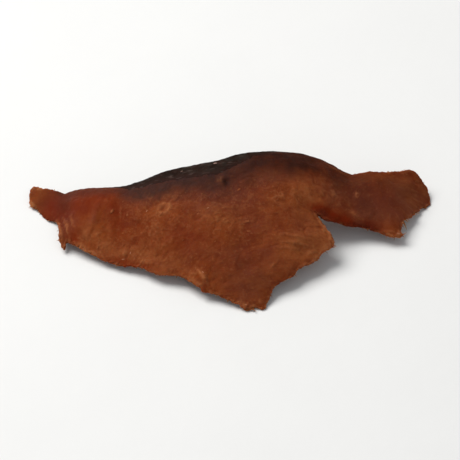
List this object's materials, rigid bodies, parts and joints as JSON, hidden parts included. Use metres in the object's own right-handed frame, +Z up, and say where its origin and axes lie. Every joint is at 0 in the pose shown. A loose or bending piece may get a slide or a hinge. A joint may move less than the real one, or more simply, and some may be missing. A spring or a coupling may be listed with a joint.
{
  "type": "dried salmon jerky slice",
  "caption": "Thin curled slice of dried salmon with a dark skin edge, torn lower edge, notch and ragged tail, lying on a flat surface.",
  "frame": {"origin": "middle of the slice's box in plan, on the surface that it lies on", "axes": "+X along the slice from the blunt lobe to the tail, +Y from the torn front tip to the skin edge, +Z up"},
  "size_m": [0.0884, 0.0404, 0.0131],
  "materials": {
    "dried_flesh": "reddish brown dried flesh, slightly glossy, with a charcoal skin edge"
  },
  "bodies": {
    "root": {"jerky_slice": "dried_flesh"}
  },
  "joints": []
}
